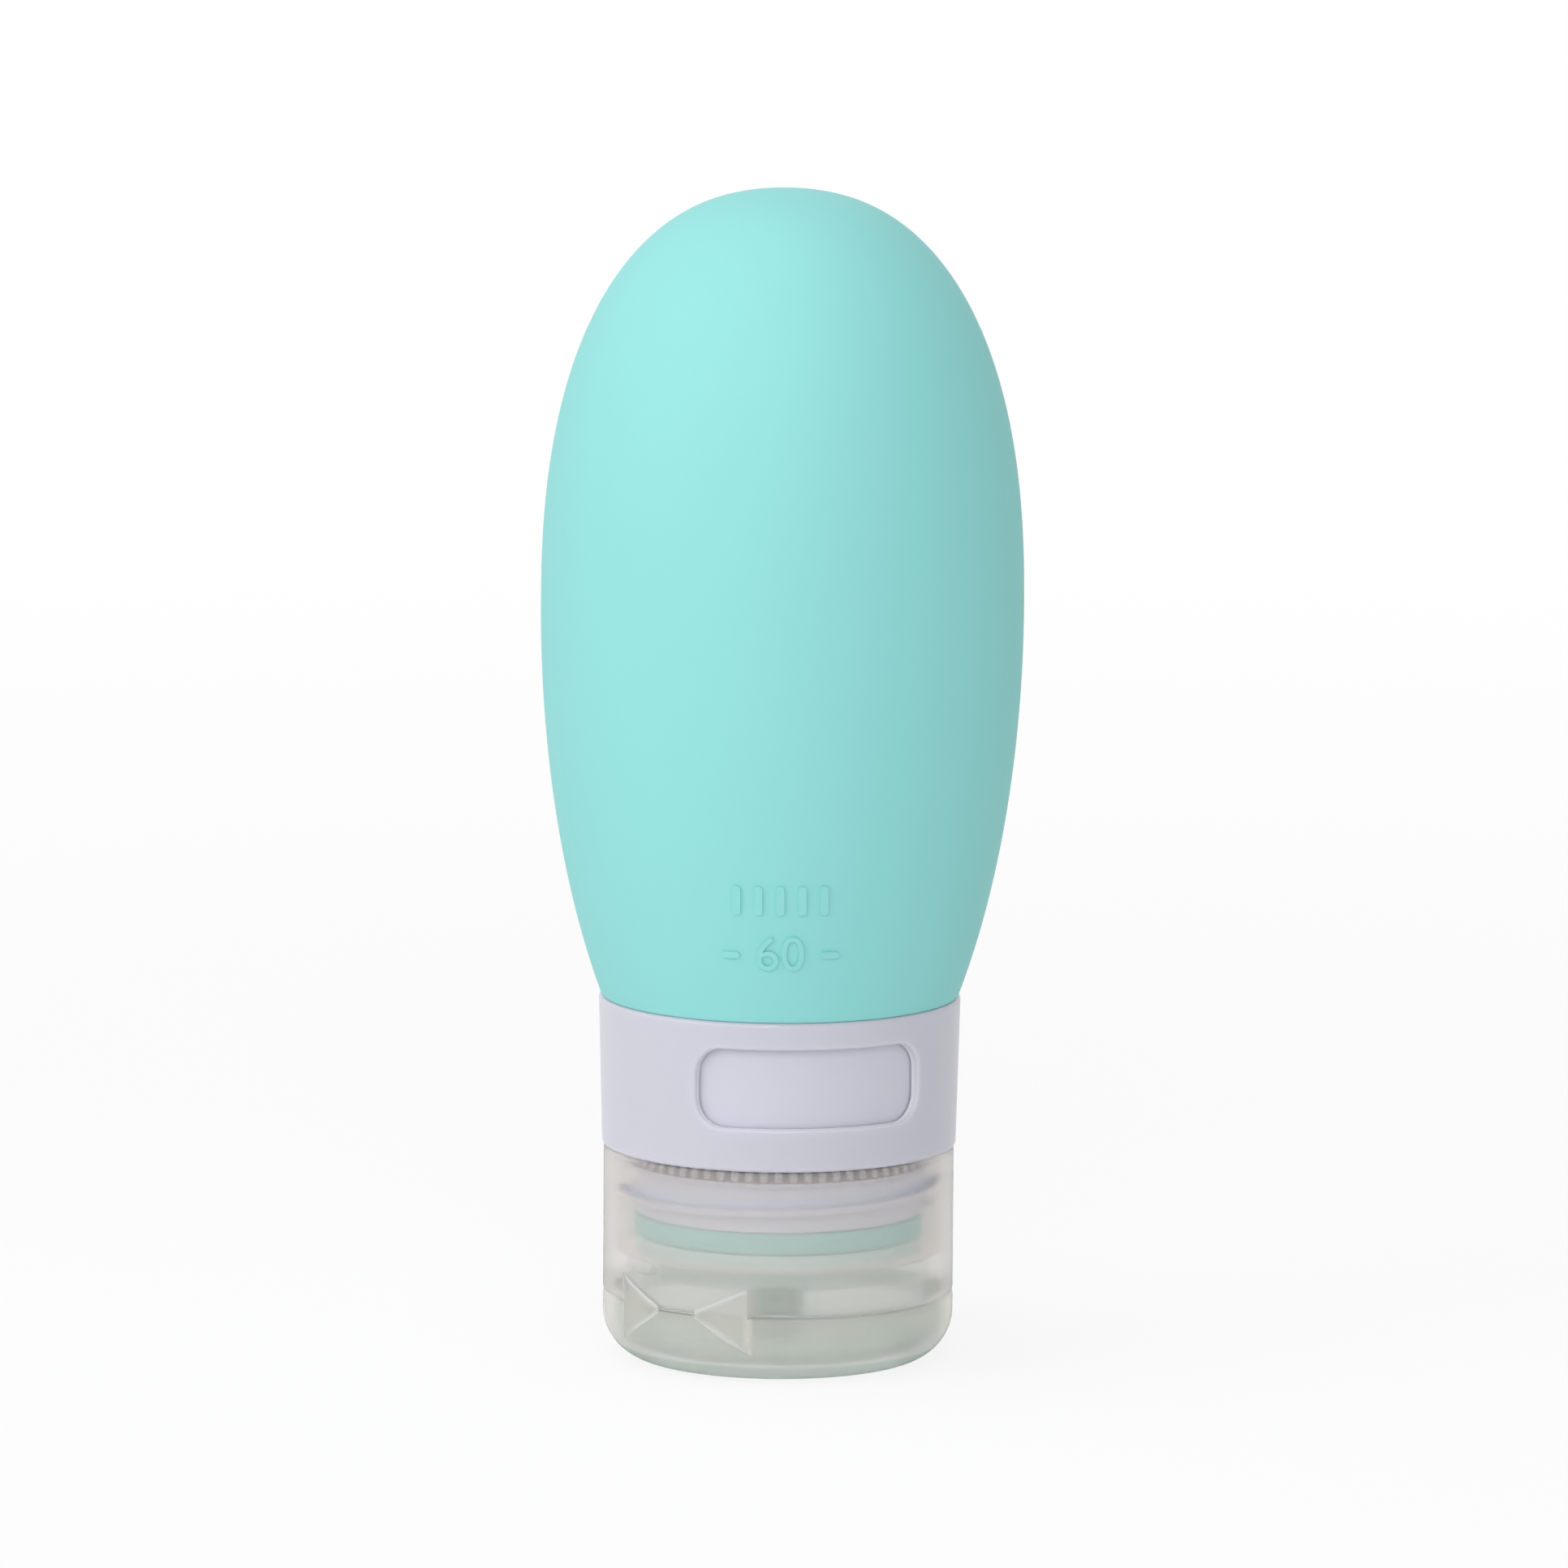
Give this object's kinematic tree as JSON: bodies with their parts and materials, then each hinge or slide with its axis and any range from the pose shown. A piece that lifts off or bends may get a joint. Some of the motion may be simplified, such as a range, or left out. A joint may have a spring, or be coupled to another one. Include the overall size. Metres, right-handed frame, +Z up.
{
  "type": "travel squeeze bottle",
  "caption": "Egg-shaped soft silicone squeeze bottle standing on its frosted flip lid, with a threaded neck sleeve, windowed collar, turning label ring and slit drip valve.",
  "frame": {"origin": "centre of the flat face that the lid stands on", "axes": "+Z up along the bottle's own axis, away from its mouth; the picture looks along +Y with +X to its right"},
  "size_m": [0.042, 0.042, 0.1027],
  "materials": {
    "silicone": "satin, soft to the touch",
    "collar_plastic": "satin",
    "clear_plastic": "frosted, see-through",
    "valve_silicone": "milky"
  },
  "bodies": {
    "bottle": {"bottle_body": "silicone", "neck_sleeve": "collar_plastic", "window_collar": "collar_plastic"},
    "label": {"label_ring": "collar_plastic"},
    "valve": {"drip_valve": "valve_silicone"},
    "cap": {"cap_base": "clear_plastic", "hinge_film": "clear_plastic", "hinge_web_left": "clear_plastic", "hinge_web_right": "clear_plastic"},
    "lid": {"flip_lid": "clear_plastic"}
  },
  "joints": [
    {"name": "label_turn", "type": "hinge", "parent": "bottle", "child": "label", "pos_m": [0, 0, 0.025], "axis": [0, 0, 1], "continuous": true},
    {"name": "cap_travel", "type": "slide", "parent": "bottle", "child": "valve", "axis": [0, 0, -1], "range_m": [0, 0.00196]},
    {"name": "cap_twist", "type": "hinge", "parent": "valve", "child": "cap", "pos_m": [0, 0, 0.012], "axis": [0, 0, -1], "range_deg": [0, 390]},
    {"name": "lid_flip", "type": "hinge", "parent": "cap", "child": "lid", "pos_m": [-0.00899, -0.01238, 0.006], "axis": [-0.809, 0.5878, 0], "range_deg": [0, 175], "deforming": ["hinge_film", "hinge_web_left", "hinge_web_right"]}
  ],
  "couplings": [
    {"joint": "cap_travel", "follows": "cap_twist", "m_per_rad": 0.00028648}
  ]
}
